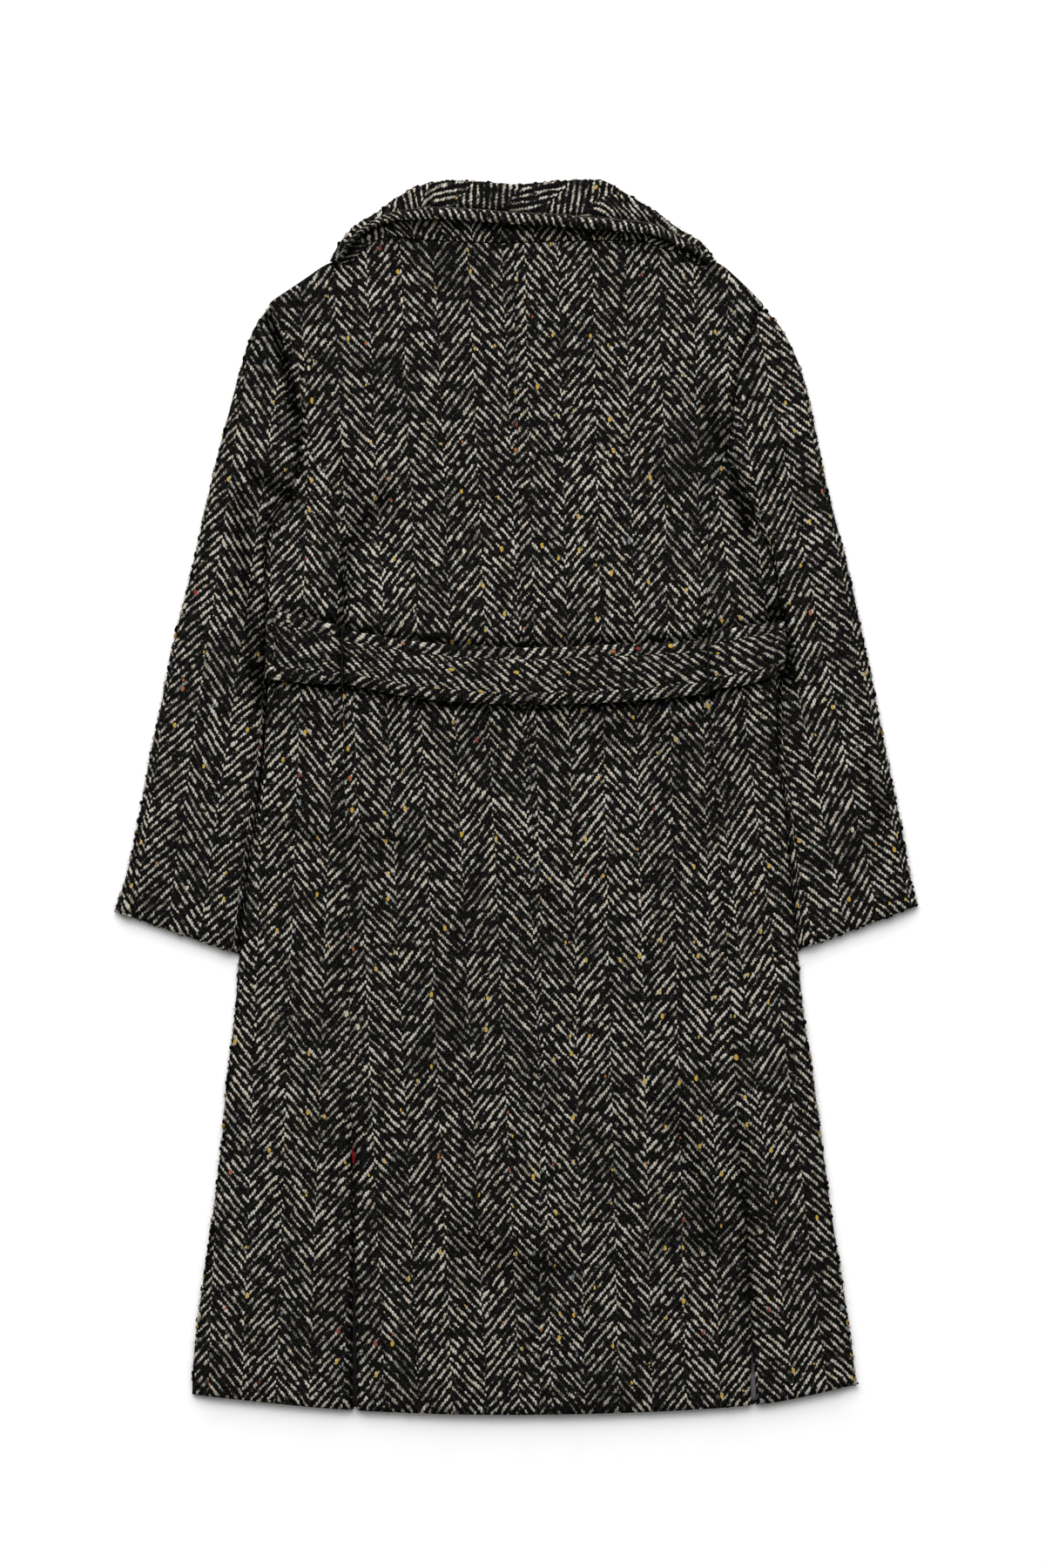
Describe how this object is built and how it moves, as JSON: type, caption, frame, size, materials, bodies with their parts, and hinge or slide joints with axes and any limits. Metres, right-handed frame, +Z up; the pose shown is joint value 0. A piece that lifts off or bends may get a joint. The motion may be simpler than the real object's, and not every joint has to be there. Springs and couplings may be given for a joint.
{
  "type": "belted coat laid flat",
  "caption": "Long tweed coat lying flat with its back up: turned-down collar, set-in sleeves, waist belt held by thread loops, and vents at the hem.",
  "frame": {"origin": "middle of the coat's outline, on the surface that the coat lies on", "axes": "+Z up out of the coat's back, +Y from the hem towards the collar, +X to the right as seen from above with the collar up"},
  "size_m": [0.7717, 1.1802, 0.0243],
  "materials": {
    "tweed": "thick napped wool tweed, black and cream herringbone with coloured flecks",
    "thread": "matt black thread",
    "lining": "smooth grey lining"
  },
  "bodies": {
    "root": {"back_left": "tweed", "back_right": "tweed", "side_left": "tweed", "side_right": "tweed", "front_left": "tweed", "front_right": "tweed", "sleeve_left": "tweed", "sleeve_right": "tweed", "collar": "tweed", "collar_front_left": "tweed", "collar_front_right": "tweed", "belt": "tweed", "belt_loop_left": "thread", "belt_loop_right": "thread", "vent_lining": "lining"}
  },
  "joints": []
}
